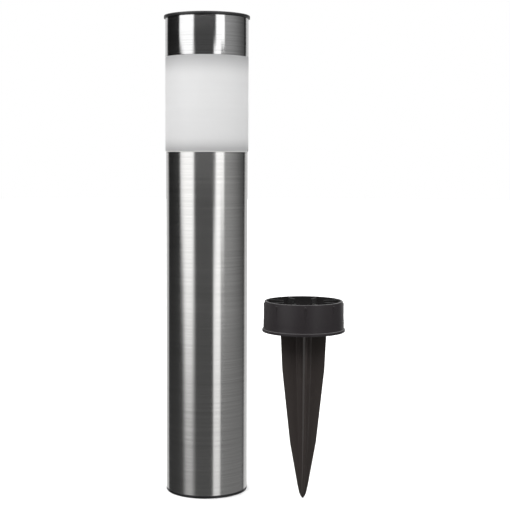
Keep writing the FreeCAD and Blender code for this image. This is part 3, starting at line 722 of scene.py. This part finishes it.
def bar_mesh(x_span, half_width, z_span, bevel, angle, centre):
    """Vertices and faces of a bar with bevelled upright and top edges, turned about the spike."""
    x0, x1 = x_span
    z0, z1 = z_span
    rows = [(z0, 0.0), (z1 - bevel, 0.0), (z1, bevel)]
    vertices = []
    for z, inset in rows:
        a, b, w = x0 + inset, x1 - inset, half_width - inset
        ring = [(a + bevel, -w), (b - bevel, -w), (b, -w + bevel), (b, w - bevel),
                (b - bevel, w), (a + bevel, w), (a, w - bevel), (a, -w + bevel)]
        vertices.extend((*turned(x, y, angle, centre), z) for x, y in ring)
    return vertices, stacked_faces(len(rows), len(ring))


# %% Join rings into a wall, and join parts
def stacked_faces(ring_count, per_ring):
    """Faces of a closed body whose vertices are rings laid one above another."""
    top_row = (ring_count - 1) * per_ring
    faces = [tuple(reversed(range(per_ring)))]
    for row in range(ring_count - 1):
        low_row, high_row = row * per_ring, (row + 1) * per_ring
        for index in range(per_ring):
            after = (index + 1) % per_ring
            faces.append((low_row + index, low_row + after, high_row + after, high_row + index))
    faces.append(tuple(range(top_row, top_row + per_ring)))
    return faces


def joined(parts):
    """One list of vertices and one of faces from several."""
    vertices, faces = [], []
    for part_vertices, part_faces in parts:
        start = len(vertices)
        vertices.extend(part_vertices)
        faces.extend(tuple(index + start for index in face) for face in part_faces)
    return vertices, faces

# %% The cup's wall
on_axis = 0.0004 * MM
cup_seat = cup_flange - 0.85 * MM
cup_top = cup_seat - 0.8 * MM
cup_wall = 1.6 * MM
cup_floor = cup_low.z + 2.0 * MM
seat_high = cup_floor + 5.0 * MM
boss_radius = 7.0 * MM
boss_high = cup_floor + 8.0 * MM
wall_parts = [spun_mesh([
    (on_axis, cup_low.z, 0.0),
    (cup_flange, cup_low.z, 0.4 * MM),
    (cup_flange, cup_floor, 0.4 * MM),
    (cup_seat, cup_floor, 0.2 * MM),
    (cup_seat, seat_high, 0.3 * MM),
    (cup_top, cup_high.z, 0.45 * MM),
    (cup_top - cup_wall, cup_high.z, 0.35 * MM),
    (cup_seat - cup_wall, seat_high, 0.4 * MM),
    (cup_seat - cup_wall, cup_floor, 0.8 * MM),
    (boss_radius, cup_floor, 0.6 * MM),
    (boss_radius, boss_high, 0.5 * MM),
    (on_axis, boss_high, 0.0),
], spike_centre)]

# %% The cup's ribs
rib_count = 8
rib_step = 2 * math.pi / rib_count
rib_half_width = 0.6 * MM
wall_middle = cup_top - cup_wall / 2
inner_reach = (cup_top - cup_wall - 10.6 * MM, wall_middle)
inner_height = (cup_floor - 0.5 * MM, cup_high.z - 0.5 * MM)
outer_reach = (wall_middle, cup_seat - 0.15 * MM)
outer_height = (seat_high - 1.0 * MM, cup_high.z - 1.5 * MM)
for index in range(rib_count):
    outer_angle = rib_step * index
    inner_angle = outer_angle + rib_step / 2
    wall_parts.append(bar_mesh(inner_reach, rib_half_width, inner_height, 0.2 * MM,
                               inner_angle, spike_centre))
    wall_parts.append(bar_mesh(outer_reach, rib_half_width, outer_height, 0.15 * MM,
                               outer_angle, spike_centre))
cup_moulding = new_piece("cup_moulding", *joined(wall_parts), cup_black)
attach(cup_moulding, "spike")
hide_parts("spike_cup")
cup_moulding.visible_glossy = False
print("cup flange radius in mm:", round(cup_flange / MM, 2))

# %% [markdown]
# ## Spike blade
# The blade is a slim round core with four fins. It is lofted: one cross-section is drawn as a
# function of height, and rings of it are joined from the point up to the cup. The fins are a
# little thicker at the root than at the edge, as a moulding needs to leave its mould, and their
# edges and roots are eased. The reach of the fins and of the core are broken lines of height.

# %% Outline of the blade
blade_top = cup_low.z
blade_turn = math.radians(4.5)
shoulder_z = blade_top - 27.6 * MM
waist_z = blade_top - 79.8 * MM
point_z = 5.0 * MM
fin_reach = [(0.0, 0.0), (0.6 * MM, 0.8 * MM), (2.3 * MM, 1.8 * MM), (point_z, 2.9 * MM),
             (waist_z, 9.35 * MM), (shoulder_z, 15.1 * MM), (blade_top, 16.4 * MM)]
core_reach = [(0.0, 0.0), (1.2 * MM, 0.8 * MM), (2.4 * MM, 1.2 * MM), (waist_z, 3.7 * MM),
              (shoulder_z, 5.4 * MM), (blade_top, 5.7 * MM)]


def along(curve, z):
    """The value of a broken line at height z."""
    for (z0, r0), (z1, r1) in zip(curve, curve[1:]):
        if z <= z1:
            return r0 + (r1 - r0) * (z - z0) / (z1 - z0)
    return curve[-1][1]


# %% Cross-section of the blade
def blade_section(z):
    """One ring of the blade, as (x, y) pairs going round from the first fin's edge."""
    reach = along(fin_reach, z)
    core = min(along(core_reach, z), 0.97 * reach)
    edge = min(0.68 * MM, 0.4 * reach)
    root = min(0.92 * MM, 0.5 * core)
    soft = 0.45 * edge
    lift = math.asin(min(0.9, root / max(core, 1e-9)))
    ring = []
    for quarter in range(4):
        turn = blade_turn + quarter * math.pi / 2
        quarter_points = [
            (reach - soft, -edge), (reach - 0.3 * soft, -edge + 0.3 * soft), (reach, -edge + soft),
            (reach, edge - soft), (reach - 0.3 * soft, edge - 0.3 * soft), (reach - soft, edge),
        ]
        root_x = core * math.cos(lift)
        blend = 0.10 * (reach - root_x)
        quarter_points.append((root_x + 3 * blend, edge + 0.7 * (root - edge)))
        quarter_points.append((root_x + blend, root))
        for step in range(7):
            angle = lift * 1.25 + (math.pi / 2 - 2.5 * lift) * step / 6
            quarter_points.append((core * math.cos(angle), core * math.sin(angle)))
        quarter_points.append((root, root_x + blend))
        quarter_points.append((edge + 0.7 * (root - edge), root_x + 3 * blend))
        ring.extend(turned(x, y, turn, spike_centre) for x, y in quarter_points)
    return ring


# %% Loft the blade
tip_end = 4.0 * MM
levels = [0.02 * MM, 0.15 * MM, 0.4 * MM, 0.8 * MM, 1.3 * MM, 1.8 * MM, 2.6 * MM, tip_end]
levels += [tip_end + (waist_z - 6.0 * MM) * step / 6 for step in range(1, 7)]
levels += [waist_z - 1.0 * MM, waist_z + 1.0 * MM]
levels += [waist_z + (shoulder_z - waist_z) * step / 7 for step in range(1, 7)]
levels += [shoulder_z - 1.0 * MM, shoulder_z + 1.0 * MM, blade_top - 12.0 * MM, blade_top]
rings = [blade_section(z) for z in levels]
per_ring = len(rings[0])
blade_vertices = [(x, y, z) for z, ring in zip(levels, rings) for x, y in ring]
blade_faces = stacked_faces(len(levels), per_ring)
blade_moulding = new_piece("blade_moulding", blade_vertices, blade_faces, blade_black)
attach(blade_moulding, "spike")
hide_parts("spike_blade")
blade_moulding.visible_glossy = False
print("blade rings:", len(levels), "points in each:", per_ring)

# %% [markdown]
# ## Studio
# A round polished tube shows the whole room in its reflections, so the room is what gives the
# steel its stripes: one broad soft light to the left, one narrower to the right, and dark screens
# between them. They are drawn into the world as bands by compass direction, because bands at a
# great distance light every part of the object alike and leave no lamp to be seen. A panel is the
# difference of two soft steps of the heading, so its two edges can each be as soft as they need.

# %% Headings and panels
world = bpy.data.worlds.new("studio")
bpy.context.scene.world = world
room = Graph(world)
east, north, rise = room.axes(room.node("ShaderNodeTexCoord", output="Generated"))
heading = room.maths("ARCTAN2", east, -north) * math.degrees(1.0)


def panel(left, right, edge):
    """1 between two headings, in degrees to the right of the camera's side, with soft edges."""
    return room.band(heading, left - edge, left + edge) - room.band(heading, right - edge, right + edge)


high_part = room.band(rise, -0.12, 0.12)
top_part = room.band(rise, 0.005, 0.05)
low_part = 1.0 - room.band(rise, -0.34, -0.04)
print("nodes for the headings:", len(world.node_tree.nodes))

# %% [markdown]
# ## Lights and screens
# The key light stands to the left and the fill light to the right, and both fade towards the
# floor, as real softboxes on stands do. A grey screen beyond the fill light gives the right side
# its even grey, a dark one faces the tube, and a wide pale wall behind the object edges both its
# sides with light.

# %% Lights and screens round the object
key_left = -64.5 - 15.0 * high_part
key_right = -35.0 - 2.0 * low_part
key_edge = 9.0 - 6.5 * high_part
key_light = panel(key_left, key_right, key_edge) * (1.55 - 1.15 * low_part)

fill_left = 20.6 + 6.4 * top_part
fill_right = 41.6 - 1.5 * high_part + 11.4 * top_part
fill_edge = 2.0
fill_light = panel(fill_left, fill_right, fill_edge) * (1.60 - 0.65 * low_part)

screen_edge = 4.0
across = room.band(heading, 50.0, 135.0)
screen_shade = 0.36 - 0.29 * across + low_part * (0.30 * across - 0.18)
grey_screen = panel(44.0, 128.0, screen_edge) * screen_shade
front_screen = panel(-36.0, 20.0, screen_edge) * 0.045

wall_left = -135.0 - 5.0 * low_part - 4.0 * top_part
wall_right = 136.0 + 5.0 * top_part
back_wall = (1.0 - panel(wall_left, wall_right, 5.0)) * 0.70
stray = 0.014 + 0.014 * (1.0 - high_part) + 0.022 * low_part
walls = key_light + fill_light + grey_screen + front_screen + back_wall + stray
print("nodes with the walls:", len(world.node_tree.nodes))

# %% [markdown]
# ## Ceiling and backdrop
# A bright ceiling lights the diffuser and the tops of things. It is a little brighter to the left
# and dimmer straight overhead, so that the solar panel isn't washed out. The camera itself sees
# plain white behind the object, and all other rays see the room.

# %% Ceiling and backdrop
ceiling = room.band(rise, 0.40, 0.62)
zenith = room.band(rise, 0.68, 0.90)
overhead = (4.2 - 1.0 * east) * (1.0 - 0.78 * zenith)
glow = walls * (1.0 - ceiling) + overhead * ceiling
seen = room.node("ShaderNodeLightPath", output="Is Camera Ray")
strength = seen + (1.0 - seen) * glow
sky = room.node("ShaderNodeBackground", {}, {"Color": rgb(1.0, 1.0, 1.0), "Strength": strength})
room.node("ShaderNodeOutputWorld", {}, {"Surface": sky})
bpy.context.scene.view_settings.view_transform = "Standard"
print("nodes in the studio:", len(world.node_tree.nodes))

# %% [markdown]
# ## Floor
# The floor is a plain pale disc with a very faint fleck, wide enough to have no visible edge. It
# is kept out of reflections and bounced light, so that the steel shows the room down to its foot
# and the floor only catches the soft shadow under the tube.

# %% The floor
def pale_floor():
    g = new_finish("pale floor")
    place = g.position()
    fleck = g.noise(place, 120.0, 4.0)
    return g.surface(g.principled({
        "Base Color": g.colours(fleck, rgb(0.80, 0.80, 0.80), rgb(0.82, 0.82, 0.82)),
        "Roughness": 0.75 + 0.1 * (fleck - 0.5),
    }))


floor_radius = 6.0
floor_sides = 96
floor_drop = 0.2 * MM
floor_angles = [2 * math.pi * side / floor_sides for side in range(floor_sides)]
floor_corners = [(floor_radius * math.cos(a), floor_radius * math.sin(a), 0.0) for a in floor_angles]
floor = new_piece("floor", floor_corners, [tuple(range(floor_sides))], pale_floor())
floor.location.z = -floor_drop
floor.visible_glossy = False
floor.visible_diffuse = False
print("floor radius in metres:", floor_radius)

# %% [markdown]
# ## Camera
# The camera stands a little above two thirds of the light's height and looks slightly down, from
# far enough away for the tube's sides to look nearly parallel. A small shift of the lens frames
# the object without tilting the camera further, which would make the tube taper.

# %% The camera
camera_place = (0.0330, -0.8551, 0.243)
camera_tilt = math.radians(90.0 - 3.63)
camera_turn = math.radians(-0.135)
camera_roll = math.radians(0.18)
camera_data = bpy.data.cameras.new("camera")
camera_data.lens = 83.07
camera_data.sensor_width = 36.0
camera_data.shift_y = -0.045
camera_data.clip_start = 0.01
camera = bpy.data.objects.new("camera", camera_data)
bpy.context.scene.collection.objects.link(camera)
camera.location = camera_place
aim = Euler((camera_tilt, 0.0, camera_turn)).to_matrix()
camera.rotation_euler = (aim @ Matrix.Rotation(camera_roll, 3, "Z")).to_euler()
bpy.context.scene.camera = camera
print("camera distance in metres:", round(-camera_place[1], 3))
